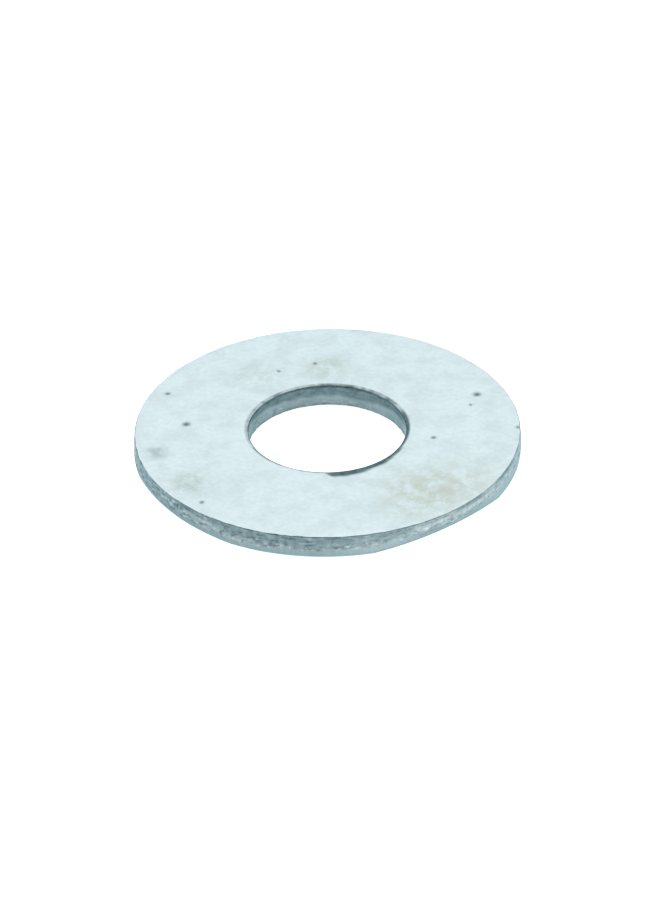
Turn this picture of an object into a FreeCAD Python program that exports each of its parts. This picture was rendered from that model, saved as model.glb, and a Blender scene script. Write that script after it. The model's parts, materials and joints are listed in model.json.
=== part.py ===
import FreeCAD, Part
import math
import os
import Sketcher

# Flat washer for a 3/8 in or M10 fastener: one ring, pierced and blanked from steel sheet.
#
# The hole is pierced and the disc is blanked from the same side, so the sheet is drawn down into
# the hole at the top face and into the die at the bottom face. That leaves a wide rolled edge at
# the top of the bore and at the bottom of the rim. Beside each roll the tools shear a smooth land,
# and past the land the metal breaks along a slight taper. Tumbling dulls the two crisp edges.
#
# Frame: +Z is the axis of the bore, and the origin is its centre on the bottom face.

NODE = "flat_washer"

# Alias, value and meaning of each driving dimension, in mm.
DIMENSIONS = [
    ("outer_diameter", 25.4, "across the sheared land of the rim"),
    ("bore_diameter", 10.31, "across the sheared land of the bore"),
    ("thickness", 1.60, "sheet thickness with its plating"),
    ("rim_roll_radius", 0.3, "rolled edge at the bottom of the rim"),
    ("bore_roll_radius", 0.18, "rolled edge at the top of the bore"),
    ("break_depth", 0.75, "height of the zone where the sheared metal broke"),
    ("break_taper", 0.05, "how far the broken zone leans away from the land"),
    ("dulled_edge_radius", 0.06, "the two crisp edges after tumbling"),
]

SIZE_TOLERANCE = 1e-3

# The sketcher's numbers for a line's two ends, and for its own origin and horizontal axis.
START = 1
END = 2
ORIGIN = (-1, 1)
HORIZONTAL_AXIS = -1


def add_dimensions(document):
    """Put the driving dimensions in a sheet of the document, one row each."""
    sheet = document.addObject("Spreadsheet::Sheet", "Dimensions")
    for row, (alias, value, meaning) in enumerate(DIMENSIONS, start=1):
        sheet.set(f"A{row}", alias)
        sheet.set(f"B{row}", str(value))
        sheet.set(f"C{row}", meaning)
        sheet.setAlias(f"B{row}", alias)
    document.recompute()
    return sheet


def origin_feature(body, role):
    """Return the plane or axis of the body's own origin that has this role."""
    return next(item for item in body.Origin.OriginFeatures if item.Role == role)


def straight(start, end):
    """Return a side of the section between two (radius, height) points."""
    return Part.LineSegment(FreeCAD.Vector(*start, 0), FreeCAD.Vector(*end, 0))


def corner(centre, radius, start_degrees):
    """Return a rounded corner: a quarter turn anticlockwise from the given angle."""
    circle = Part.Circle(FreeCAD.Vector(*centre, 0), FreeCAD.Vector(0, 0, 1), radius)
    start = math.radians(start_degrees)
    return Part.ArcOfCircle(circle, start, start + math.pi / 2)


def section_sides(sheet):
    """Return the ring's cross-section by name, anticlockwise from the bottom face.

    The leaning sides are drawn with upright corners here. The sketch's constraints turn them
    tangent.
    """
    outer = sheet.outer_diameter / 2
    inner = sheet.bore_diameter / 2
    top = sheet.thickness
    rim_roll = sheet.rim_roll_radius
    bore_roll = sheet.bore_roll_radius
    dulled = sheet.dulled_edge_radius
    outer_edge = outer - sheet.break_taper
    inner_edge = inner + sheet.break_taper
    return {
        "bottom": straight((inner_edge + dulled, 0), (outer - rim_roll, 0)),
        "rim_roll": corner((outer - rim_roll, rim_roll), rim_roll, -90),
        "rim_land": straight((outer, rim_roll), (outer, top - sheet.break_depth)),
        "rim_break": straight((outer, top - sheet.break_depth), (outer_edge, top - dulled)),
        "rim_edge": corner((outer_edge - dulled, top - dulled), dulled, 0),
        "top": straight((outer_edge - dulled, top), (inner + bore_roll, top)),
        "bore_roll": corner((inner + bore_roll, top - bore_roll), bore_roll, 90),
        "bore_land": straight((inner, top - bore_roll), (inner, sheet.break_depth)),
        "bore_break": straight((inner, sheet.break_depth), (inner_edge, dulled)),
        "bore_edge": corner((inner_edge + dulled, dulled), dulled, 180),
    }


def bind(sketch, name, constraint, expression):
    """Add a named constraint to the sketch and drive it from the sheet."""
    index = sketch.addConstraint(constraint)
    sketch.renameConstraint(index, name)
    sketch.setExpression(f"Constraints.{name}", expression)


def add_ring_section(body, sheet):
    """Sketch the ring's cross-section on the body's XZ plane, fully constrained by the sheet."""
    sketch = body.newObject("Sketcher::SketchObject", "RingSection")
    sketch.AttachmentSupport = [(origin_feature(body, "XZ_Plane"), "")]
    sketch.MapMode = "FlatFace"

    sides = section_sides(sheet)
    number = {name: sketch.addGeometry(side, False) for name, side in sides.items()}
    names = list(sides)
    for name, following in zip(names, names[1:] + names[:1]):
        both_straight = all(isinstance(sides[side], Part.LineSegment) for side in (name, following))
        join = "Coincident" if both_straight else "Tangent"
        sketch.addConstraint(
            Sketcher.Constraint(join, number[name], END, number[following], START)
        )

    sketch.addConstraint(Sketcher.Constraint("Horizontal", number["bottom"]))
    sketch.addConstraint(Sketcher.Constraint("Horizontal", number["top"]))
    sketch.addConstraint(Sketcher.Constraint("Vertical", number["rim_land"]))
    sketch.addConstraint(Sketcher.Constraint("Vertical", number["bore_land"]))
    sketch.addConstraint(
        Sketcher.Constraint("PointOnObject", number["bottom"], START, HORIZONTAL_AXIS)
    )

    rounded = {
        "rim_roll": "rim_roll_radius",
        "bore_roll": "bore_roll_radius",
        "rim_edge": "dulled_edge_radius",
        "bore_edge": "dulled_edge_radius",
    }
    for name, alias in rounded.items():
        radius = Sketcher.Constraint("Radius", number[name], sides[name].Radius)
        bind(sketch, f"{name}_radius", radius, f"Dimensions.{alias}")

    placed = [
        ("rim_land", START, "x", "Dimensions.outer_diameter / 2"),
        ("bore_land", START, "x", "Dimensions.bore_diameter / 2"),
        ("top", START, "y", "Dimensions.thickness"),
        ("rim_break", START, "y", "Dimensions.thickness - Dimensions.break_depth"),
        ("rim_break", END, "x", "Dimensions.outer_diameter / 2 - Dimensions.break_taper"),
        ("bore_break", START, "y", "Dimensions.break_depth"),
        ("bore_break", END, "x", "Dimensions.bore_diameter / 2 + Dimensions.break_taper"),
    ]
    for name, end, axis, expression in placed:
        point = sides[name].StartPoint if end == START else sides[name].EndPoint
        distance = Sketcher.Constraint(
            f"Distance{axis.upper()}", *ORIGIN, number[name], end, getattr(point, axis)
        )
        bind(sketch, f"{name}_{axis}", distance, expression)
    return sketch


def add_washer(document, sheet):
    """Make the washer's body by revolving its cross-section about the bore's axis."""
    body = document.addObject("PartDesign::Body", "Washer")
    body.Label = NODE
    section = add_ring_section(body, sheet)
    document.recompute()

    ring = body.newObject("PartDesign::Revolution", "Ring")
    ring.Profile = section
    ring.ReferenceAxis = (section, ["V_Axis"])
    ring.Angle = 360
    body.Placement = FreeCAD.Placement()
    document.recompute()
    return body


def check(document, body, sheet):
    """Stop unless every object worked and the washer is one closed solid of the stated size."""
    for item in document.Objects:
        if "Invalid" in item.State or "Error" in item.State:
            raise RuntimeError(f"{item.Name} failed: {item.State}")
    shape = body.Shape
    if shape.isNull() or not shape.isValid() or len(shape.Solids) != 1:
        raise RuntimeError(f"{body.Label} is not one valid solid")

    box = shape.optimalBoundingBox(False, False)
    sizes = [
        (box.XLength, sheet.outer_diameter),
        (box.YLength, sheet.outer_diameter),
        (box.ZLength, sheet.thickness),
        (box.ZMin, 0),
    ]
    for found, wanted in sizes:
        if abs(found - wanted) > SIZE_TOLERANCE:
            raise RuntimeError(f"{body.Label} measures {found} mm where {wanted} mm is wanted")

    face_area = math.pi / 4 * (sheet.outer_diameter ** 2 - sheet.bore_diameter ** 2)
    share = shape.Volume / (face_area * sheet.thickness)
    print(f"{body.Label}: {shape.Volume:.2f} mm3, {share:.1%} of a square-edged ring")


def main():
    document = FreeCAD.newDocument("FlatWasher")
    sheet = add_dimensions(document)
    washer = add_washer(document, sheet)
    check(document, washer, sheet)
    os.makedirs("parts", exist_ok=True)
    washer.Shape.exportStep(f"parts/{washer.Label}.step")


main()
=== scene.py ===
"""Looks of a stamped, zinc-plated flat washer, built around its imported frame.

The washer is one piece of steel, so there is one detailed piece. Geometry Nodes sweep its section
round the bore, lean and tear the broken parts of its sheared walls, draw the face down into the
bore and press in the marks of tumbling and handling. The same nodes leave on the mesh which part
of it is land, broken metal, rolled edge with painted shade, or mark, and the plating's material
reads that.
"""

import json
import logging
import math
from collections.abc import Callable, Mapping, Sequence
from dataclasses import dataclass, fields
from enum import Enum
from functools import partial
from typing import Any

import bpy
from mathutils import Matrix, Vector


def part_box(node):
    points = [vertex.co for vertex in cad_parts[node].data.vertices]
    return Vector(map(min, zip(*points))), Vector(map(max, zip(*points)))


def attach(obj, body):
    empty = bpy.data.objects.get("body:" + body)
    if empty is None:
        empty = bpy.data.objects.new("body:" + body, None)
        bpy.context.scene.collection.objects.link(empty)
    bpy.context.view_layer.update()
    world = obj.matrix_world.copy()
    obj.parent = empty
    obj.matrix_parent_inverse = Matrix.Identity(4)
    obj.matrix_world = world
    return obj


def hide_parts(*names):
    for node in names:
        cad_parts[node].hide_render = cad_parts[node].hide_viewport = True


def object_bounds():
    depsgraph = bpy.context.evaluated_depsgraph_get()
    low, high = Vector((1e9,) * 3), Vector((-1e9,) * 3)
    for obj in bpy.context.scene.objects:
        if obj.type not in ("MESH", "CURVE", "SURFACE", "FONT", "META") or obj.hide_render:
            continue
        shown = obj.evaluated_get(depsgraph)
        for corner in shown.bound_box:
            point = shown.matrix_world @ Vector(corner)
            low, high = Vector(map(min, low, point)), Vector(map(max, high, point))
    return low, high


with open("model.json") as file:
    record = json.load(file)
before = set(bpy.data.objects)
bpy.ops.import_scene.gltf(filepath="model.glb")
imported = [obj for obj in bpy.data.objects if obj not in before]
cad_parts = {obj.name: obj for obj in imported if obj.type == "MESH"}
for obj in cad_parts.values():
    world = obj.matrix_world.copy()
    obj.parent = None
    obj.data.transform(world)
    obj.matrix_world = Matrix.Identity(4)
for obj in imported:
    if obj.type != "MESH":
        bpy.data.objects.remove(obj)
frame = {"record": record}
CAD_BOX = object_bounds()

LOG = logging.getLogger("flat_washer")
CAD_NODE = "flat_washer"
BODY = "root"
MM = 0.001
# Most values of a noise pattern lie between these.
SPREAD = (0.3, 0.7)

MATH = "ShaderNodeMath"
VECTOR = "ShaderNodeVectorMath"
RANGE = "ShaderNodeMapRange"
NOISE = "ShaderNodeTexNoise"
CELLS = "ShaderNodeTexVoronoi"
MIX = "ShaderNodeMix"
SPLIT = "ShaderNodeSeparateXYZ"
JOIN = "ShaderNodeCombineXYZ"

AddNode = Callable[..., bpy.types.Node]
Source = bpy.types.Node | bpy.types.NodeSocket
Span = tuple[float, float]


class Zone(str, Enum):
    """What the ring's mesh says about each point, as attributes from 0 to 1."""

    # The walls' share, lessened on the drawn side of the rim as painted light.
    WALL = "wall"
    BROKEN = "broken"
    TORN = "torn"
    # Rolled edges together with the bands of painted shade and painted shadow.
    ROLLED = "rolled"
    MARKED = "marked"


class Mark(str, Enum):
    """What each point of the marks mesh carries, in metres."""

    RADIUS = "mark_radius"
    DEPTH = "mark_depth"


def add_node(
    tree: bpy.types.NodeTree,
    kind: str,
    sockets: Sequence[Any] | Mapping[str, Any] = (),
    **settings: Any,
) -> bpy.types.Node:
    """Add a node, set its properties, and fill or link its inputs.

    Args:
        tree: The tree that the node goes in.
        kind: The node's type name.
        sockets: Values for the inputs that the settings leave in use: a sequence in their order,
            or a mapping by name. A node or an output socket is linked, and any other value
            becomes the input's own. None leaves an input as it is.
        **settings: Properties of the node, such as its operation.

    Returns:
        The new node.
    """
    node = tree.nodes.new(kind)
    for name, setting in settings.items():
        setattr(node, name, setting)
    in_use = [socket for socket in node.inputs if socket.enabled]
    by_name = {socket.name: socket for socket in reversed(in_use)}
    pairs = sockets.items() if isinstance(sockets, Mapping) else zip(range(len(in_use)), sockets)
    for key, value in pairs:
        socket = in_use[key] if isinstance(key, int) else by_name[key]
        if isinstance(value, bpy.types.Node):
            value = next(output for output in value.outputs if output.enabled)
        if isinstance(value, bpy.types.NodeSocket):
            tree.links.new(value, socket)
        elif value is not None:
            socket.default_value = value
    return node


def linear(hex_colour: str) -> tuple[float, float, float, float]:
    """Turn an sRGB hex colour such as "#D4EAED" to linear red, green, blue and alpha.

    Args:
        hex_colour: The colour, with its leading sign.

    Returns:
        The four channels from 0 to 1, with alpha at 1.
    """
    channels = [int(hex_colour[start:start + 2], 16) / 255 for start in (1, 3, 5)]
    curve = [c / 12.92 if c <= 0.04045 else ((c + 0.055) / 1.055) ** 2.4 for c in channels]
    return (*curve, 1.0)


def per_size(size_mm: float) -> float:
    """Return the texture scale that makes one feature of a pattern this many mm across."""
    return 1 / (size_mm * MM)


@dataclass(frozen=True)
class Dent:
    """A small pit or nick from handling, at a listed place on the ring.

    Args:
        x: Place across the ring, in mm from the bore's axis.
        y: Place away from the front of the ring, in mm from the bore's axis.
        radius: Half its width, in mm.
        depth: How deep it goes, in mm.
    """

    x: float
    y: float
    radius: float
    depth: float


@dataclass(frozen=True)
class Stain:
    """A patch where the passivate dried thick or thin, at a listed place on the top face.

    Args:
        x: Place across the ring, in mm from the bore's axis.
        y: Place away from the front of the ring, in mm from the bore's axis.
        radius: Half its width, in mm.
        strength: How much of its colour shows at the middle, from 0 to 1.
        colour: Its colour, as sRGB hex.
    """

    x: float
    y: float
    radius: float
    strength: float
    colour: str


@dataclass(frozen=True)
class ZincPlate:
    """Bright zinc electroplate with a clear blue passivate, on tumbled and stamped steel.

    To the eye: a pale, faintly blue-green satin metal. The passivate dries unevenly, so the tint
    drifts to grey and here and there to straw. The flat faces carry a fine mottle and short
    scratches from tumbling. The sheared lands are smoother and greyer with drag lines along the
    punch's travel, and the broken metal is dull and dark, with painted glints on its torn points and
    painted shade in its hollows and pits. The walls are darker than the face partly as painted
    shade. Zinc reflects about 66, 82 and 85 percent of red, green and blue, which the plate colour
    starts from.

    Sizes of patterns and heights of relief are in mm. Each scratch pattern has its turn in radians
    and its width in mm. The pairs of shades scale a colour, and a pair of roughnesses is its range.
    """

    plate: str = "#D7E8EC"
    cloudy: str = "#D0E0E4"
    # Wall colours: the sheared metal's greyer, duller tone, darkened further as painted shade.
    land: str = "#84999D"
    # Dark colours of the rolled edges and of the painted shade bands along them.
    rolled: str = "#4C6267"
    worn_rolled_and_shade: str = "#62787D"
    # Darkened partly as painted shade too.
    broken: str = "#82979B"
    # Painted glint on torn points, and painted shade in the torn hollows and pits.
    torn_glint: str = "#C6D5D8"
    hollow_shade: str = "#42535A"
    # Colour that the dents are darkened towards.
    dent_dark: str = "#4E5B5F"
    glancing: str = "#C4D6DA"
    face_roughness: Span = (0.31, 0.42)
    land_roughness: float = 0.32
    broken_roughness: float = 0.55
    rolled_roughness: float = 0.60
    dent_dark_roughness: float = 0.15
    mottle_size: float = 0.34
    drift_size: float = 1.7
    ragged_size: float = 0.9
    speck_size: float = 0.40
    pit_size: float = 0.52
    streak_size: float = 0.22
    grain_size: float = 0.20
    mottle_shades: Span = (0.965, 1.03)
    streak_shades: Span = (0.90, 1.06)
    dent_dark_share: float = 0.85
    pit_share: float = 0.85
    grain_flattening: float = 2.4
    streak_stretch: float = 0.14
    scratch_stretch: float = 0.05
    scratches: tuple[Span, ...] = ((0.4, 0.10), (1.5, 0.08), (2.6, 0.12))
    mottle_height: float = 0.0025
    scratch_depth: float = 0.002
    streak_height: float = 0.008
    grain_height: float = 0.025
    stains: tuple[Stain, ...] = (
        Stain(x=5.9, y=-8.0, radius=4.6, strength=0.85, colour="#BBC3B4"),
        Stain(x=8.6, y=-6.6, radius=3.8, strength=0.70, colour="#C0C8BC"),
        Stain(x=-8.8, y=-6.3, radius=2.6, strength=0.65, colour="#ACBAB5"),
        Stain(x=-11.1, y=-2.6, radius=1.3, strength=0.75, colour="#A0AFB5"),
        Stain(x=0.1, y=7.4, radius=2.8, strength=0.65, colour="#B9C4BC"),
        Stain(x=-4.6, y=6.6, radius=3.2, strength=0.50, colour="#B7C6C0"),
    )

    def build(self) -> bpy.types.Material:
        """Make the material.

        Returns:
            The finished material, whose patterns read object coordinates and the ring's zones.
        """
        material = bpy.data.materials.new("zinc_plate_blue_passivate")
        material.use_nodes = True
        tree = material.node_tree
        tree.nodes.clear()
        add = partial(add_node, tree)
        place = add("ShaderNodeTexCoord").outputs["Object"]
        zones = {zone: add("ShaderNodeAttribute", attribute_name=zone.value).outputs["Fac"]
                 for zone in Zone}
        mottle = self._noise(add, place, self.mottle_size, 4.0)
        surface = add(
            "ShaderNodeBsdfPrincipled",
            {
                "Base Color": self._colour(add, place, zones, mottle),
                "Metallic": 1.0,
                "Roughness": self._roughness(add, zones, mottle),
                "Specular Tint": linear(self.glancing),
                "Normal": self._relief(add, place, zones, mottle),
            },
        )
        add("ShaderNodeOutputMaterial", {"Surface": surface})
        return material

    def _blend(
        self, add: AddNode, share: Source | float, first: Source | str, second: Source | str
    ) -> bpy.types.Node:
        """Mix two colours, each a source or a hex value, by a share from 0 to 1 of the second."""
        pair = [linear(colour) if isinstance(colour, str) else colour for colour in (first, second)]
        return add(MIX, (share, *pair), data_type="RGBA", clamp_factor=True)

    def _noise(
        self, add: AddNode, place: Source, size: float, detail: float, roughness: float = 0.5
    ) -> Source:
        """Wire noise from 0 to 1 whose features are this many mm across."""
        return add(NOISE, {"Vector": place, "Scale": per_size(size), "Detail": detail,
                           "Roughness": roughness}).outputs["Fac"]

    def _stretched(
        self, add: AddNode, place: Source, scale: tuple[float, float, float], turn: float = 0.0
    ) -> Source:
        """Wire the place with each axis scaled, after a turn about the bore's axis."""
        return add("ShaderNodeMapping", {"Vector": place, "Rotation": (0.0, 0.0, turn),
                                         "Scale": scale})

    def _colour(
        self, add: AddNode, place: Source, zones: Mapping[Zone, Source], mottle: Source
    ) -> Source:
        """Wire the plating's colour over the faces, the walls, the rolled edges with painted shade,
        and the marks.

        Args:
            add: Adds a node to the tree.
            place: The point's place.
            zones: The share of each zone.
            mottle: The fine mottle, from 0 to 1.

        Returns:
            The colour.
        """
        face = self._face_colour(add, place, mottle)
        flattened = self._stretched(add, place, (1.0, 1.0, self.grain_flattening))
        pits = self._noise(add, flattened, self.pit_size, 4.0, 0.7)

        # Painted glints on the torn points, painted shade deeper in the tear.
        torn = self._blend(add, zones[Zone.TORN], self.torn_glint, self.hollow_shade)
        dull = add(RANGE, (self._noise(add, flattened, self.speck_size, 3.0), 0.36, 0.62))
        broken = self._blend(add, dull, torn, self.broken)
        # Pits in the broken metal darkened as painted shade.
        pitted = add(RANGE, (pits, 0.53, 0.64, 0.0, self.pit_share))
        broken = self._blend(add, pitted, broken, self.hollow_shade)
        # Lands and broken metal, darker than the face partly as painted shade.
        walls = self._blend(add, zones[Zone.BROKEN], self.land, broken)
        streaks = add(RANGE, (self._streaks(add, place), *SPREAD, *self.streak_shades))
        walls = add(VECTOR, {0: walls, "Scale": streaks}, operation="SCALE").outputs["Vector"]

        # Rolled edges and painted shade bands, in two dark tones broken up by pits.
        rolled = self._blend(add, add(RANGE, (pits, 0.44, 0.60)), self.worn_rolled_and_shade, self.rolled)
        whole = self._blend(add, zones[Zone.WALL], face, walls)
        whole = self._blend(add, zones[Zone.ROLLED], whole, rolled)
        # Darker in the dents.
        dent_darkening = add(MATH, (zones[Zone.MARKED], self.dent_dark_share), operation="MULTIPLY")
        return self._blend(add, dent_darkening, whole, self.dent_dark).outputs[2]

    def _face_colour(self, add: AddNode, place: Source, mottle: Source) -> Source:
        """Wire the colour of the flat faces: clouds, ragged stains and a fine mottle.

        Args:
            add: Adds a node to the tree.
            place: The point's place.
            mottle: The fine mottle, from 0 to 1.

        Returns:
            The colour.
        """
        drift = self._noise(add, place, self.drift_size, 4.0)
        cloud = add(RANGE, (drift, 0.40, 0.66), interpolation_type="SMOOTHSTEP")
        face = self._blend(add, cloud, self.plate, self.cloudy)
        ragged = self._noise(add, place, self.ragged_size, 5.0, 0.65)
        uneven = add(RANGE, (ragged, 0.38, 0.60, 0.15, 1.0))
        for stain in self.stains:
            centre = (stain.x * MM, stain.y * MM, CAD_BOX[1].z)
            away = add(VECTOR, (place, centre), operation="DISTANCE")
            near = add(RANGE, (away, stain.radius * MM, 0.0, 0.0, stain.strength),
                       interpolation_type="SMOOTHSTEP")
            share = add(MATH, (near, uneven), operation="MULTIPLY")
            face = self._blend(add, share, face, stain.colour)
        mottled = add(RANGE, (mottle, *SPREAD, *self.mottle_shades))
        return add(VECTOR, {0: face, "Scale": mottled}, operation="SCALE").outputs["Vector"]

    def _streaks(self, add: AddNode, place: Source) -> Source:
        """Wire the drag lines that the punch and die leave along their travel."""
        along = self._stretched(add, place, (1.0, 1.0, self.streak_stretch))
        return self._noise(add, along, self.streak_size, 3.0)

    def _scratches(self, add: AddNode, place: Source) -> Source:
        """Wire short, thin scratches in three directions, each from 0 to 1.

        Args:
            add: Adds a node to the tree.
            place: The point's place.

        Returns:
            The share of the strongest scratch.
        """
        total = 0.0
        for turn, width in self.scratches:
            along = self._stretched(add, place, (1.0, self.scratch_stretch, 1.0), turn)
            share = add(RANGE, (self._noise(add, along, width, 1.0), 0.66, 0.74))
            total = add(MATH, (share, total), operation="MAXIMUM")
        return total

    def _roughness(
        self, add: AddNode, zones: Mapping[Zone, Source], mottle: Source
    ) -> Source:
        """Wire the roughness: satin faces, smoother lands, dull broken metal and rolled edges.

        Args:
            add: Adds a node to the tree.
            zones: The share of each zone.
            mottle: The fine mottle, from 0 to 1.

        Returns:
            The roughness.
        """
        face = add(RANGE, (mottle, *SPREAD, *self.face_roughness))
        wall = add(MIX, (zones[Zone.BROKEN], self.land_roughness, self.broken_roughness))
        both = add(MIX, (zones[Zone.WALL], face, wall))
        both = add(MIX, (zones[Zone.ROLLED], both, self.rolled_roughness))
        return add(MATH, (both, zones[Zone.MARKED], self.dent_dark_roughness),
                   operation="MULTIPLY_ADD").outputs[0]

    def _relief(
        self, add: AddNode, place: Source, zones: Mapping[Zone, Source], mottle: Source
    ) -> Source:
        """Wire the fine relief, with heights in mm: tumbling, scratches, drag lines, torn grain.

        Args:
            add: Adds a node to the tree.
            place: The point's place.
            zones: The share of each zone.
            mottle: The fine mottle, from 0 to 1.

        Returns:
            The bumped normal.
        """
        height = add(MATH, (mottle, self.mottle_height), operation="MULTIPLY")
        streaks = add(MATH, (self._streaks(add, place), zones[Zone.WALL]), operation="MULTIPLY")
        grain = self._noise(add, place, self.grain_size, 3.0)
        grain = add(MATH, (grain, zones[Zone.BROKEN]), operation="MULTIPLY")
        for pattern, step in (
            (self._scratches(add, place), -self.scratch_depth),
            (streaks, self.streak_height),
            (grain, self.grain_height),
        ):
            height = add(MATH, (pattern, step, height), operation="MULTIPLY_ADD")
        return add("ShaderNodeBump", {"Height": height, "Distance": MM}).outputs["Normal"]


@dataclass(frozen=True)
class RingSizes:
    """Sizes of the stamped ring, in metres. Each one is an input of the Geometry Nodes tree.

    The broken zones are higher at one side, where the punch and die stood further apart. The face
    is drawn down furthest at the side of the bore where the punch pulled hardest.
    """

    outer_radius: float
    bore_radius: float
    thickness: float
    rim_roll: float = 0.30 * MM
    bore_roll: float = 0.18 * MM
    dulled_edge: float = 0.06 * MM
    rim_break_depth: float = 0.86 * MM
    bore_break_depth: float = 0.72 * MM
    break_swing: float = 0.22 * MM
    break_wander: float = 0.16 * MM
    break_taper: float = 0.05 * MM
    tear_depth: float = 0.05 * MM
    draw_depth: float = 0.05 * MM
    draw_width: float = 0.50 * MM
    burr_height: float = 0.02 * MM
    edge_fall: float = 0.018 * MM
    edge_fall_width: float = 0.50 * MM
    right_flat_depth: float = 0.46 * MM
    left_flat_depth: float = 0.20 * MM
    flat_height: float = 1.05 * MM
    face_wave: float = 0.012 * MM
    rim_spacing: float = 0.060 * MM
    bore_spacing: float = 0.085 * MM
    top_spacing: float = 0.15 * MM
    bottom_spacing: float = 0.80 * MM


@dataclass(frozen=True)
class RingCounts:
    """How finely the sweep is divided: steps round the ring, and steps in each rounded corner."""

    steps_round: int = 800
    corner_steps: int = 5


@dataclass(frozen=True)
class Spans:
    """How far round the ring each effect reaches, as cosines of the turn from its bearing.

    The first of a pair is where the effect starts, and the second is where it is full.
    """

    pull: Span = (-1.0, 1.0)
    drawn_edge: Span = (0.50, 0.64)
    drawn_side: Span = (0.5, 0.9)
    roll: Span = (0.6, 1.0)
    bore_front: Span = (-0.8, -0.55)
    bore_back: Span = (0.0, 1.0)
    front: Span = (0.80, 0.98)
    flat: Span = (0.92, 1.0)


@dataclass(frozen=True)
class RingPatterns:
    """Sizes of the random patterns in the ring's shape, in mm across one feature."""

    wander: float = 1.3
    cells: float = 0.55
    torn_grain: float = 0.3
    burr: float = 1.0
    wave: float = 5.0
    uneven: float = 1.5
    worn: float = 1.2
    blotches: float = 2.0


@dataclass(frozen=True)
class Shear:
    """How the sheared walls meet the edges. Lengths are in mm, the rest are shares.

    Args:
        cells_share: How strongly the torn cells count beside the torn grain.
        broken_step: How soon the land turns into broken metal.
        bore_share: How dull the bore's broken metal is, beside the rim's.
        least_pull: How far the face is drawn down where it is pulled least.
        draw_heights: Where the drawing down starts and is full, as shares of the thickness.
        burr_width: How wide the burr is.
        burr_drop: How far down the wall the burr reaches.
        fall_drop: How far down the wall the fall of the edge reaches, as a share of the thickness.
        flat_reach: How far in from the rim the straight stretches reach.
    """

    cells_share: float = 0.55
    broken_step: float = 0.09
    bore_share: float = 0.42
    least_pull: float = 0.15
    draw_heights: Span = (0.4, 0.85)
    burr_width: float = 0.2
    burr_drop: float = 0.1
    fall_drop: float = 0.4
    flat_reach: float = 1.5


@dataclass(frozen=True)
class RolledEdgesAndPaintedShade:
    """The dark bands along the ring's edges: rolled edges with painted shade and painted shadow.
    Lengths are in mm, and shares say how dark they are.

    Args:
        bore_widths: Width on top of the face at the bore, at the front and elsewhere.
        drawn_widths: The same on the drawn side, where the band is narrowest and widest.
        bore_heights: How far the band reaches down the bore, at the front and at the back.
        worn_shares: Least and most dark of the band, where tumbling has worn the rolled edge and
            noise breaks up its painted shade.
        curl_and_shade_height: How high the rolled lower edge of the rim and its painted shade stand
            on the drawn side.
        curl_and_shade_share: How dark it is.
        foot_shadow_height: How high the painted shadow at the foot of the bore stands.
        foot_shadow_share: How dark it is.
        foot: Height below which both lower bands are full.
        rim_reach: How far in from the rim the bands start and are full.
        shade_heights: Drop of the painted shade under the rim's upper edge: plain, on the drawn
            side, and at the front.
        shade_leasts: Its least dark share, plain and at the front.
        shade_most: Its most dark share.
        shade_drawn: How much of it is left on the drawn side.
        bright: How much less the drawn side of the rim counts as wall, as painted light: the pale
            face colour lightens it there.
    """

    bore_widths: Span = (0.25, 0.27)
    drawn_widths: Span = (0.31, 0.84)
    bore_heights: Span = (0.36, 0.85)
    worn_shares: Span = (0.45, 0.90)
    curl_and_shade_height: float = 0.36
    curl_and_shade_share: float = 0.75
    foot_shadow_height: float = 0.22
    foot_shadow_share: float = 0.40
    foot: float = 0.1
    rim_reach: Span = (2.0, 1.5)
    shade_heights: tuple[float, float, float] = (0.46, 0.36, 1.20)
    shade_leasts: Span = (0.20, 0.45)
    shade_most: float = 0.80
    shade_drawn: float = 0.90
    # Painted light on the drawn side of the rim.
    bright: float = 0.24


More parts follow.
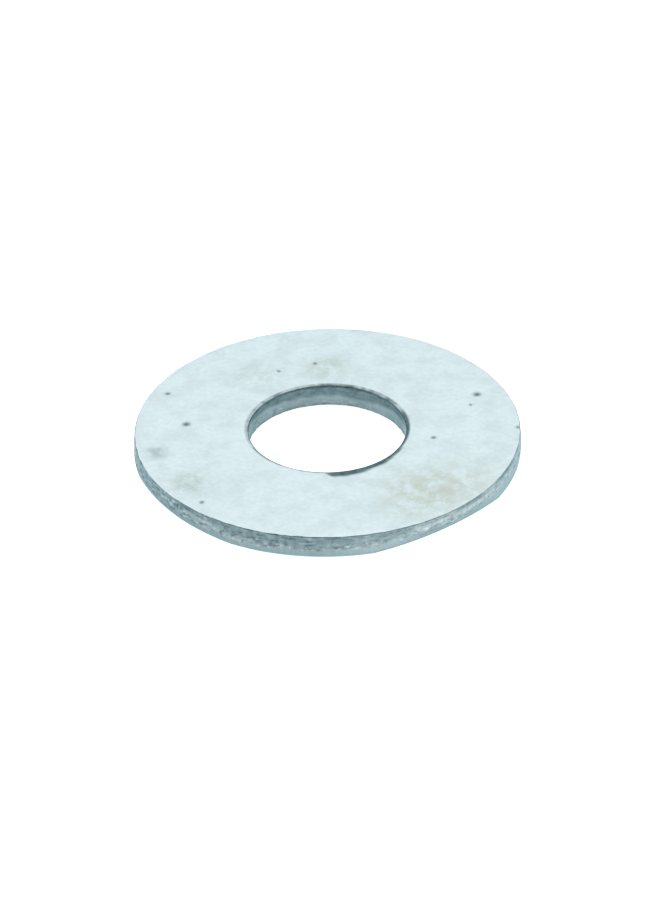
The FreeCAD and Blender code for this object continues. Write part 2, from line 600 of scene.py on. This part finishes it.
@dataclass(frozen=True)
class Survey:
    """Where a point of the ring stands, and the sums that the steps of its wear share.

    Args:
        add: Adds a node to the tree.
        given: The tree's inputs by name.
        place: The point's place.
        outward: The level direction to it from the bore's axis.
        height: How high it is above the bottom face.
        below_top: How far it is below the top face.
        rim_gap: How far it is in from the rim.
        bore_gap: How far it is out from the bore's wall.
    """

    add: AddNode
    given: Mapping[str, Source]
    place: Source
    outward: Source
    height: Source
    below_top: Source
    rim_gap: Source
    bore_gap: Source

    @classmethod
    def of_ring(cls, add: AddNode, given: Mapping[str, Source]) -> "Survey":
        """Wire where a point stands against the ring's faces, rim and bore.

        Args:
            add: Adds a node to the tree.
            given: The tree's inputs by name.

        Returns:
            The survey of the points of the mesh.
        """
        place = add("GeometryNodeInputPosition")
        x, y, height = add(SPLIT, (place,)).outputs
        level = add(JOIN, (x, y, 0.0))
        radius = add(VECTOR, (level,), operation="LENGTH")
        return cls(
            add=add,
            given=given,
            place=place,
            outward=add(VECTOR, (level,), operation="NORMALIZE"),
            height=height,
            below_top=add(MATH, (given["thickness"], height), operation="SUBTRACT"),
            rim_gap=add(MATH, (given["outer_radius"], radius), operation="SUBTRACT"),
            bore_gap=add(MATH, (radius, given["bore_radius"]), operation="SUBTRACT"),
        )

    def facing(self, bearing: float) -> Source:
        """Wire the cosine of the turn between the point and a bearing."""
        direction = (math.cos(bearing), math.sin(bearing), 0.0)
        return self.add(VECTOR, (self.outward, direction),
                        operation="DOT_PRODUCT").outputs["Value"]

    def noise(self, size: float, detail: float = 2.0) -> Source:
        """Wire noise from 0 to 1 whose features are this many mm across."""
        return self.add(NOISE, {"Vector": self.place, "Scale": per_size(size), "Detail": detail,
                                "Roughness": 0.6}).outputs["Fac"]

    def ease(self, value: Source, start: Source | float, end: Source | float) -> Source:
        """Wire a smooth step from 0 at start to 1 at end."""
        return self.add(RANGE, (value, start, end), interpolation_type="SMOOTHSTEP").outputs[0]

    def fold(self, operation: str, *values: Source | float) -> Source:
        """Wire one operation through two or more values, from the first to the last.

        Args:
            operation: The name of the sum, such as ADD.
            *values: The values, sources or plain numbers.

        Returns:
            The result of the last step.
        """
        total = values[0]
        for value in values[1:]:
            total = self.add(MATH, (total, value), operation=operation).outputs[0]
        return total

    def product(self, *values: Source | float) -> Source:
        """Wire the product of two or more values."""
        return self.fold("MULTIPLY", *values)


@dataclass
class StampedRing:
    """The washer itself: one ring pierced and blanked from sheet steel, then zinc plated.

    Bearings say where round the ring an effect is strongest. They are turns from the X axis
    towards the Y axis, so the front of the ring is at -90 degrees.
    """

    sizes: RingSizes
    counts: RingCounts = RingCounts()
    spans: Spans = Spans()
    patterns: RingPatterns = RingPatterns()
    shear: Shear = Shear()
    bands: RolledEdgesAndPaintedShade = RolledEdgesAndPaintedShade()
    tear_bearing: float = math.radians(-130)
    draw_bearing: float = math.radians(-35)
    roll_bearing: float = math.radians(-78)
    shade_bearing: float = math.radians(80)
    front_bearing: float = math.radians(-95)
    right_flat_bearing: float = math.radians(-54)
    left_flat_bearing: float = math.radians(-142)
    dents: tuple[Dent, ...] = (
        Dent(x=-9.25, y=0.7, radius=0.46, depth=0.03),
        Dent(x=10.0, y=3.7, radius=0.46, depth=0.03),
        Dent(x=-10.6, y=4.5, radius=0.30, depth=0.014),
        Dent(x=9.5, y=2.4, radius=0.22, depth=0.008),
        Dent(x=-0.75, y=8.0, radius=0.26, depth=0.010),
        Dent(x=-3.2, y=7.1, radius=0.22, depth=0.008),
        Dent(x=6.9, y=-1.5, radius=0.30, depth=0.008),
        Dent(x=2.0, y=12.5, radius=0.35, depth=0.05),
        Dent(x=12.5, y=-0.4, radius=0.30, depth=0.04),
        Dent(x=-8.0, y=-8.5, radius=0.28, depth=0.010),
    )

    def build(self, finish: bpy.types.Material) -> bpy.types.Object:
        """Make the ring's mesh with Geometry Nodes and give it its finish.

        Args:
            finish: The plating's material.

        Returns:
            The finished ring, a plain mesh with its place in its vertices.
        """
        marks = self._marks_object()
        tree = self._tree()
        modifier = marks.modifiers.new("stamped_ring", "NODES")
        modifier.node_group = tree
        values = {**vars(self.sizes), **vars(self.counts), "finish": finish}
        for item in tree.interface.items_tree:
            if item.in_out == "INPUT" and item.name in values:
                modifier[item.identifier] = values[item.name]
        depsgraph = bpy.context.evaluated_depsgraph_get()
        mesh = bpy.data.meshes.new_from_object(
            marks.evaluated_get(depsgraph), preserve_all_data_layers=True, depsgraph=depsgraph
        )
        mesh.name = "stamped_washer"
        bpy.data.objects.remove(marks)
        ring = bpy.data.objects.new("stamped_washer", mesh)
        bpy.context.scene.collection.objects.link(ring)
        return ring

    def _marks_object(self) -> bpy.types.Object:
        """Make the loose points of the marks, each with its radius and depth.

        Returns:
            The object that holds the points.
        """
        mesh = bpy.data.meshes.new("marks")
        top = self.sizes.thickness
        mesh.from_pydata([(dent.x * MM, dent.y * MM, top) for dent in self.dents], [], [])
        for mark, name in ((Mark.RADIUS, "radius"), (Mark.DEPTH, "depth")):
            layer = mesh.attributes.new(mark.value, "FLOAT", "POINT")
            layer.data.foreach_set("value", [getattr(dent, name) * MM for dent in self.dents])
        marks = bpy.data.objects.new("marks", mesh)
        bpy.context.scene.collection.objects.link(marks)
        return marks

    def _tree(self) -> bpy.types.GeometryNodeTree:
        """Build the tree that sweeps the section round the bore and gives it its wear and painted
        shade.

        Returns:
            The tree, with an input named for each size and count, the marks and the finish.
        """
        tree = bpy.data.node_groups.new("stamped_ring", "GeometryNodeTree")
        interface = tree.interface
        interface.new_socket("marks", in_out="INPUT", socket_type="NodeSocketGeometry")
        for item in fields(RingSizes):
            interface.new_socket(item.name, in_out="INPUT", socket_type="NodeSocketFloat")
        for item in fields(RingCounts):
            interface.new_socket(item.name, in_out="INPUT", socket_type="NodeSocketInt")
        interface.new_socket("finish", in_out="INPUT", socket_type="NodeSocketMaterial")
        interface.new_socket("ring", in_out="OUTPUT", socket_type="NodeSocketGeometry")

        add = partial(add_node, tree)
        given = {socket.name: socket for socket in add("NodeGroupInput").outputs}
        ring = self._sweep(add, given)
        zones, offset = self._wear(add, given)
        for zone, share in zones.items():
            ring = add("GeometryNodeStoreNamedAttribute",
                       {"Geometry": ring, "Name": zone.value, "Value": share})
        ring = add("GeometryNodeSetPosition", {"Geometry": ring, "Offset": offset})
        ring = add("GeometryNodeSetShadeSmooth", {"Geometry": ring, "Shade Smooth": True})
        ring = add("GeometryNodeRealizeInstances", {"Geometry": ring})
        ring = add("GeometryNodeSetMaterial", {"Geometry": ring, "Material": given["finish"]})
        add("NodeGroupOutput", (ring,))
        return tree

    def _sweep(self, add: AddNode, given: Mapping[str, Source]) -> Source:
        """Wire the section, a rectangle with four round corners, and its sweep round the bore.

        Args:
            add: Adds a node to the tree.
            given: The tree's inputs by name.

        Returns:
            The swept ring, standing on the floor.
        """
        width = add(MATH, (given["outer_radius"], given["bore_radius"]), operation="SUBTRACT")
        middle = add(MATH, (given["outer_radius"], given["bore_radius"]), operation="ADD")
        middle = add(MATH, (middle, 0.5), operation="MULTIPLY")
        section = add("GeometryNodeCurvePrimitiveQuadrilateral", (width, given["thickness"]))

        # The sweep lays the section's Y axis down along the bore, so its lower half ends up on top.
        across, down, _ = add(SPLIT, (add("GeometryNodeInputPosition"),)).outputs
        outer = add(MATH, (across, 0.0), operation="GREATER_THAN")
        upper = add(MATH, (down, 0.0), operation="LESS_THAN")
        rim = add(MIX, (upper, given["rim_roll"], given["dulled_edge"]))
        bore = add(MIX, (upper, given["dulled_edge"], given["bore_roll"]))
        section = add(
            "GeometryNodeFilletCurve",
            (section, given["corner_steps"], add(MIX, (outer, bore, rim)), True),
            mode="POLY",
        )

        # A side of the section that climbs more than half its length is a wall, cut more finely.
        here = add("GeometryNodeInputPosition")
        following = add("GeometryNodeOffsetPointInCurve", {"Offset": 1}).outputs["Point Index"]
        ahead = add("GeometryNodeFieldAtIndex", (here, following), data_type="FLOAT_VECTOR")
        step = add(VECTOR, (ahead, here), operation="SUBTRACT")
        length = add(VECTOR, (step,), operation="LENGTH")
        rise = add(MATH, (add(SPLIT, (step,)).outputs["Y"],), operation="ABSOLUTE")
        steep = add(MATH, (add(MATH, (rise, length), operation="DIVIDE"), 0.5),
                    operation="GREATER_THAN")
        flat_spacing = add(MIX, (upper, given["bottom_spacing"], given["top_spacing"]))
        wall_spacing = add(MIX, (outer, given["bore_spacing"], given["rim_spacing"]))
        spacing = add(MIX, (steep, flat_spacing, wall_spacing))
        cuts = add(MATH, (length, spacing), operation="DIVIDE")
        cuts = add(MATH, (add(MATH, (cuts, 1.0), operation="SUBTRACT"), 0.0), operation="MAXIMUM")
        cuts = add(MATH, (cuts,), operation="ROUND")
        section = add("GeometryNodeSubdivideCurve", (section, cuts))

        path = add("GeometryNodeCurvePrimitiveCircle",
                   {"Resolution": given["steps_round"], "Radius": middle})
        ring = add("GeometryNodeCurveToMesh", {"Curve": path, "Profile Curve": section})
        half = add(MATH, (given["thickness"], 0.5), operation="MULTIPLY")
        lift = add(JOIN, (0.0, 0.0, half))
        return add("GeometryNodeTransform", {"Geometry": ring, "Translation": lift})

    def _wear(
        self, add: AddNode, given: Mapping[str, Source]
    ) -> tuple[dict[Zone, Source], Source]:
        """Wire what shearing, tumbling and handling did to the ring, with bands of painted shade and
        light.

        Args:
            add: Adds a node to the tree.
            given: The tree's inputs by name.

        Returns:
            The share of each zone at a point, and how far the point moves.
        """
        at = Survey.of_ring(add, given)
        relief = self._torn_relief(at)
        rim_wall, bore_wall, broken, radial = self._sheared_walls(at, relief)
        wall = at.fold("MAXIMUM", rim_wall, bore_wall)
        radial = self._flattened_rim(at, radial)
        marked, pressed = self._handling_marks(at)

        drawn = at.ease(at.facing(self.draw_bearing), *self.spans.drawn_side)
        near_rim = at.ease(at.rim_gap, *(reach * MM for reach in self.bands.rim_reach))
        uneven = add(RANGE, (at.noise(self.patterns.uneven), *SPREAD, 0.85, 1.15))
        bore_roll_and_shade = self._bore_roll_and_shade(at, bore_wall, uneven)
        foot_roll_and_shade = self._foot_roll_and_shade(at, drawn, near_rim, wall, bore_wall, uneven)
        painted_rim_shade = self._painted_rim_shade(at, drawn, near_rim, wall, uneven)
        # Painted light: the drawn side of the rim counts less as wall, so the pale face colour
        # lightens it.
        bright = at.product(drawn, near_rim, -self.bands.bright, wall)

        offset = add(VECTOR, {0: at.outward, "Scale": radial}, operation="SCALE")
        offset = add(VECTOR, (offset, add(JOIN, (0.0, 0.0, self._rise(at)))), operation="ADD")
        press = add(VECTOR, {0: add("GeometryNodeInputNormal"), "Scale": pressed},
                    operation="SCALE")
        offset = add(VECTOR, (offset, press), operation="ADD")
        zones = {
            # Wall share, less the painted light on the drawn side of the rim.
            Zone.WALL: at.fold("ADD", wall, bright),
            Zone.BROKEN: broken,
            Zone.TORN: relief,
            # Rolled edges with painted shade and painted shadow.
            Zone.ROLLED: at.fold("MAXIMUM", bore_roll_and_shade, foot_roll_and_shade, painted_rim_shade),
            Zone.MARKED: marked,
        }
        return zones, offset

    def _torn_relief(self, at: Survey) -> Source:
        """Wire how far the broken metal is torn at a point, from 0 to 1: cells and fine grain.

        Args:
            at: The survey of the point.

        Returns:
            The relief.
        """
        flattened = at.add(VECTOR, (at.place, (1.0, 1.0, 2.0)), operation="MULTIPLY")
        cells = at.add(CELLS, {"Vector": flattened, "Scale": per_size(self.patterns.cells)})
        cells = at.product(cells.outputs["Distance"], self.shear.cells_share)
        relief = at.fold("ADD", at.noise(self.patterns.torn_grain, 3.0), cells)
        return at.add(RANGE, (relief, 0.45, 1.05)).outputs[0]

    def _sheared_walls(
        self, at: Survey, relief: Source
    ) -> tuple[Source, Source, Source, Source]:
        """Wire the two sheared walls: a land beside the rolled edge, then broken metal that leans.

        Args:
            at: The survey of the point.
            relief: How far the broken metal is torn, from 0 to 1.

        Returns:
            The shares of the rim's wall, the bore's wall and the broken metal, and how far the
            point moves outward.
        """
        given = at.given
        dulled = given["dulled_edge"]
        swing = at.product(at.facing(self.tear_bearing), given["break_swing"])
        wander = at.add(RANGE, (at.noise(self.patterns.wander, 3.0), *SPREAD, -1.0, 1.0))
        swing = at.add(MATH, (wander, given["break_wander"], swing), operation="MULTIPLY_ADD")
        walls = []
        broken_shares = []
        shifts = []
        for gap, from_edge, depth, sign, share in (
            (at.rim_gap, at.below_top, given["rim_break_depth"], -1.0, 1.0),
            (at.bore_gap, at.height, given["bore_break_depth"], 1.0, self.shear.bore_share),
        ):
            wall = at.ease(gap, dulled, at.product(dulled, 0.3))
            beside = at.ease(gap, at.product(dulled, 5.0), dulled)
            end = at.fold("ADD", depth, swing)
            past = at.fold("SUBTRACT", end, from_edge)
            broken = at.ease(past, 0.0, self.shear.broken_step * MM)
            lean = at.product(at.add(RANGE, (past, 0.0, end)), given["break_taper"])
            tear = at.product(relief, given["tear_depth"], broken)
            walls.append(wall)
            broken_shares.append(at.product(broken, wall, share))
            shifts.append(at.product(at.fold("ADD", lean, tear), beside, sign))
        broken = at.fold("MAXIMUM", *broken_shares)
        return *walls, broken, at.fold("ADD", *shifts)

    def _rise(self, at: Survey) -> Source:
        """Wire how far a point rises: the drawn face, the burr, a slow wave and the edge's fall.

        Args:
            at: The survey of the point.

        Returns:
            The rise, negative where the point sinks.
        """
        given = at.given
        top = given["thickness"]
        pull = at.add(RANGE, (at.facing(self.draw_bearing), *self.spans.pull,
                              self.shear.least_pull, 1.0))
        reach = at.product(pull, given["draw_width"])
        sunk = at.add(RANGE, (at.bore_gap, reach, 0.0), interpolation_type="SMOOTHERSTEP")
        low, high = (at.product(top, share) for share in self.shear.draw_heights)
        sunk = at.product(sunk, at.ease(at.height, low, high))
        draw = at.product(sunk, pull, given["draw_depth"], -1.0)
        burr = at.ease(at.noise(self.patterns.burr), 0.5, 0.72)
        burr = at.product(
            burr,
            at.ease(at.rim_gap, self.shear.burr_width * MM, given["dulled_edge"]),
            at.ease(at.below_top, self.shear.burr_drop * MM, 0.0),
            given["burr_height"],
        )
        wave = at.product(at.noise(self.patterns.wave), given["face_wave"])
        fall = at.product(
            at.ease(at.rim_gap, given["edge_fall_width"], 0.0),
            at.ease(at.below_top, at.product(top, self.shear.fall_drop), 0.0),
            given["edge_fall"],
            -1.0,
        )
        return at.fold("ADD", draw, burr, wave, fall)

    def _flattened_rim(self, at: Survey, radial: Source) -> Source:
        """Cut the rim's lower edge slightly straight in two places, as if along a chord.

        Args:
            at: The survey of the point.
            radial: How far the point moves outward already.

        Returns:
            How far it moves outward in all.
        """
        reach = at.ease(at.rim_gap, self.shear.flat_reach * MM, 0.0)
        low = at.ease(at.height, at.given["flat_height"], 0.0)
        for bearing, depth in (
            (self.right_flat_bearing, at.given["right_flat_depth"]),
            (self.left_flat_bearing, at.given["left_flat_depth"]),
        ):
            chord = at.add(RANGE, (at.facing(bearing), *self.spans.flat, 0.0, -1.0))
            radial = at.fold("ADD", radial, at.product(chord, depth, low, reach))
        return radial

    def _handling_marks(self, at: Survey) -> tuple[Source, Source]:
        """Wire the dents: the share of the nearest mark, and how far it moves the surface.

        Args:
            at: The survey of the point.

        Returns:
            The share from 0 to 1, and the move along the normal, negative inwards.
        """
        marks = at.given["marks"]
        distance = at.add("GeometryNodeProximity", {"Geometry": marks}, target_element="POINTS")
        distance = distance.outputs["Distance"]
        nearest = at.add("GeometryNodeSampleNearest", {"Geometry": marks}, domain="POINT")
        size, depth = (
            at.add("GeometryNodeSampleIndex",
                   (marks, at.add("GeometryNodeInputNamedAttribute", {"Name": mark.value}), nearest))
            for mark in Mark
        )
        marked = at.add(RANGE, (distance, size, 0.0), interpolation_type="SMOOTHERSTEP")
        return marked, at.product(marked, depth, -1.0)

    def _bore_roll_and_shade(self, at: Survey, bore_wall: Source, uneven: Source) -> Source:
        """Wire the bore's rolled edge with its painted shade, widest where the face is drawn down
        furthest.

        Args:
            at: The survey of the point.
            bore_wall: The share of the bore's wall.
            uneven: What the band's sizes are multiplied by.

        Returns:
            How dark the point is painted, from 0 to 1.
        """
        bands = self.bands
        across = at.facing(self.shade_bearing)
        drawn = at.ease(at.facing(self.draw_bearing), *self.spans.drawn_edge)
        plain = at.add(RANGE, (across, *self.spans.bore_front, *bands.bore_widths))
        wide = at.add(RANGE, (at.facing(self.roll_bearing), *self.spans.roll,
                              *bands.drawn_widths))
        width = at.product(at.add(MIX, (drawn, plain, wide)), MM, uneven)
        height = at.add(RANGE, (across, *self.spans.bore_back, *bands.bore_heights))
        height = at.product(height, MM, uneven)
        worn = at.add(RANGE, (at.noise(self.patterns.worn), 0.42, 0.58, *bands.worn_shares))
        # The bore's rolled edge, darkened as painted shade, reaching furthest down the bore at the
        # back.
        return at.product(
            at.ease(at.bore_gap, width, at.product(width, 0.7)),
            at.ease(at.below_top, at.product(height, 1.25), at.product(height, 0.7)),
            at.add(MIX, (at.fold("MAXIMUM", drawn, bore_wall), worn, 1.0)),
        )

    def _foot_roll_and_shade(
        self,
        at: Survey,
        drawn: Source,
        near_rim: Source,
        wall: Source,
        bore_wall: Source,
        uneven: Source,
    ) -> Source:
        """Wire the dark bands at the foot of the walls: the rolled rim edge with painted shade, and
        painted shadow in the bore.

        Args:
            at: The survey of the point.
            drawn: The share of the drawn side.
            near_rim: The share of being near the rim.
            wall: The share of both walls.
            bore_wall: The share of the bore's wall.
            uneven: What the bands' sizes are multiplied by.

        Returns:
            How dark the point is painted, from 0 to 1.
        """
        bands = self.bands
        foot = bands.foot * MM
        curl_and_shade_top = at.product(bands.curl_and_shade_height * MM, uneven)
        foot_shadow_top = at.product(bands.foot_shadow_height * MM, uneven)
        # The rim's rolled foot on the drawn side, darkened as painted contact shade.
        curled_and_shaded = at.product(drawn, bands.curl_and_shade_share, wall, near_rim,
                            at.ease(at.height, curl_and_shade_top, foot))
        # Painted shadow at the foot of the bore's wall.
        foot_shadow = at.product(bore_wall, bands.foot_shadow_share, at.ease(at.height, foot_shadow_top, foot))
        return at.fold("MAXIMUM", curled_and_shaded, foot_shadow)

    def _painted_rim_shade(
        self, at: Survey, drawn: Source, near_rim: Source, wall: Source, uneven: Source
    ) -> Source:
        """Wire the blotchy painted shade under the rim's upper edge, deepest at the front.

        Args:
            at: The survey of the point.
            drawn: The share of the drawn side.
            near_rim: The share of being near the rim.
            wall: The share of both walls.
            uneven: What the band's sizes are multiplied by.

        Returns:
            How dull the point is, from 0 to 1.
        """
        bands = self.bands
        plain, drawn_drop, front_drop = bands.shade_heights
        front = at.ease(at.facing(self.front_bearing), *self.spans.front)
        drop = at.add(MIX, (front, at.add(MIX, (drawn, plain, drawn_drop)), front_drop))
        drop = at.product(drop, MM, uneven)
        least = at.add(MIX, (front, *bands.shade_leasts))
        blotches = at.add(RANGE, (at.noise(self.patterns.blotches), 0.38, 0.62, least,
                                  bands.shade_most))
        # Painted shade under the rim's upper edge, darkest at the front.
        return at.product(wall, near_rim, at.ease(at.below_top, drop, at.product(drop, 0.3)),
                          blotches, at.add(MIX, (drawn, 1.0, bands.shade_drawn)))


@dataclass(frozen=True)
class Softbox:
    """A square lamp with a soft cover, aimed at the washer.

    Args:
        name: What it is called.
        side: Its width and height, in metres.
        bearing: Where it stands, in degrees from the front, towards the right.
        elevation: How high it stands, in degrees.
        distance: How far it is from the washer, in metres.
        radiance: How bright its face is.
    """

    name: str
    side: float
    bearing: float
    elevation: float
    distance: float
    radiance: float


@dataclass
class Studio:
    """A pale floor under soft light, and the camera that looks down at the washer."""

    target: Vector
    floor_side: float = 4.0
    elevation: float = 32.9
    roll: float = -1.09
    distance: float = 0.1950
    lens: float = 118.9
    sensor: float = 36.0
    shift: tuple[float, float] = (0.0028, -0.0140)
    floor_colour: str = "#F4F4F4"
    floor_roughness: float = 0.9
    floor_specular: float = 0.1
    floor_glow: float = 0.8
    surround: Span = (1.08, 0.40)
    dim_towards_front: Span = (0.25, -0.45)
    dim_towards_top: Span = (0.25, 0.60)
    softboxes: tuple[Softbox, ...] = (
        Softbox("top_softbox", side=0.7, bearing=180, elevation=82, distance=0.5, radiance=0.18),
    )

    def build(self) -> None:
        """Make the floor, the lamps, the surrounding light and the camera."""
        self._add_floor()
        for softbox in self.softboxes:
            self._add_softbox(softbox)
        self._light_surroundings()
        self._add_camera()
        bpy.context.scene.view_settings.view_transform = "Standard"

    def _direction(self, bearing: float, elevation: float) -> Vector:
        """Return the unit vector from the washer at this bearing and elevation, in degrees.

        Args:
            bearing: The turn from the front, towards the right.
            elevation: The climb above the floor.

        Returns:
            The direction.
        """
        turn = math.radians(bearing)
        climb = math.radians(elevation)
        return Vector((
            math.sin(turn) * math.cos(climb), -math.cos(turn) * math.cos(climb), math.sin(climb)
        ))

    def _add_floor(self) -> None:
        """Lay the pale floor that the washer rests on."""
        half = self.floor_side / 2
        mesh = bpy.data.meshes.new("floor")
        corners = [(-half, -half, 0), (half, -half, 0), (half, half, 0), (-half, half, 0)]
        mesh.from_pydata(corners, [], [(0, 1, 2, 3)])
        material = bpy.data.materials.new("matt_white_floor")
        material.use_nodes = True
        shader = material.node_tree.nodes["Principled BSDF"]
        shader.inputs["Base Color"].default_value = linear(self.floor_colour)
        shader.inputs["Roughness"].default_value = self.floor_roughness
        shader.inputs["Specular IOR Level"].default_value = self.floor_specular
        shader.inputs["Emission Color"].default_value = linear(self.floor_colour)
        shader.inputs["Emission Strength"].default_value = self.floor_glow
        mesh.materials.append(material)
        floor = bpy.data.objects.new("floor", mesh)
        bpy.context.scene.collection.objects.link(floor)

    def _add_softbox(self, softbox: Softbox) -> None:
        """Hang one lamp. Its power follows from its face's size and brightness.

        Args:
            softbox: The lamp to hang.
        """
        lamp = bpy.data.lights.new(softbox.name, "AREA")
        lamp.shape = "SQUARE"
        lamp.size = softbox.side
        lamp.energy = softbox.radiance * math.pi * softbox.side ** 2
        direction = self._direction(softbox.bearing, softbox.elevation)
        holder = bpy.data.objects.new(softbox.name, lamp)
        holder.location = self.target + direction * softbox.distance
        holder.rotation_euler = direction.to_track_quat("Z", "Y").to_euler()
        bpy.context.scene.collection.objects.link(holder)

    def _light_surroundings(self) -> None:
        """Light the scene from all round: pale everywhere, dimmer high up on the camera's side."""
        world = bpy.data.worlds.new("studio")
        world.use_nodes = True
        tree = world.node_tree
        tree.nodes.clear()
        add = partial(add_node, tree)
        _, back, up = add(SPLIT, (add("ShaderNodeTexCoord").outputs["Generated"],)).outputs
        front = add(RANGE, (back, *self.dim_towards_front), interpolation_type="SMOOTHSTEP")
        high = add(RANGE, (up, *self.dim_towards_top), interpolation_type="SMOOTHSTEP")
        dim = add(MATH, (front, high), operation="MULTIPLY")
        strength = add(RANGE, (dim, 0.0, 1.0, *self.surround))
        background = add("ShaderNodeBackground",
                         {"Color": (1.0, 1.0, 1.0, 1.0), "Strength": strength})
        add("ShaderNodeOutputWorld", {"Surface": background})
        bpy.context.scene.world = world

    def _add_camera(self) -> None:
        """Set up the camera in front of the washer, tipped down at it and slightly rolled."""
        lens = bpy.data.cameras.new("camera")
        lens.lens = self.lens
        lens.sensor_width = self.sensor
        lens.shift_x, lens.shift_y = self.shift
        lens.clip_start = 0.01
        lens.clip_end = self.floor_side * 2
        camera = bpy.data.objects.new("camera", lens)
        direction = self._direction(0, self.elevation)
        aim = direction.to_track_quat("Z", "Y").to_matrix().to_4x4()
        roll = Matrix.Rotation(math.radians(self.roll), 4, "Z")
        place = Matrix.Translation(self.target + direction * self.distance)
        camera.matrix_world = place @ aim @ roll
        bpy.context.scene.collection.objects.link(camera)
        bpy.context.scene.camera = camera


def main() -> None:
    """Build the washer and the studio round it, and report each piece."""
    low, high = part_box(CAD_NODE)
    bore = next(mount for mount in frame["record"]["mounts"] if mount["kind"] == "bore")
    sizes = RingSizes(
        outer_radius=(high.x - low.x) / 2,
        bore_radius=bore["dims"]["r_mm"] * MM,
        thickness=high.z - low.z,
    )
    ring = StampedRing(sizes).build(ZincPlate().build())
    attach(ring, BODY)
    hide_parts(CAD_NODE)
    LOG.info("%s: %d faces, in place of %s", ring.name, len(ring.data.polygons), CAD_NODE)

    Studio(target=Vector((0.0, 0.0, sizes.thickness / 2))).build()
    LOG.info("studio: floor, soft light and camera")


if __name__ == "__main__":
    logging.basicConfig(level=logging.INFO, format="%(name)s: %(message)s")
    main()
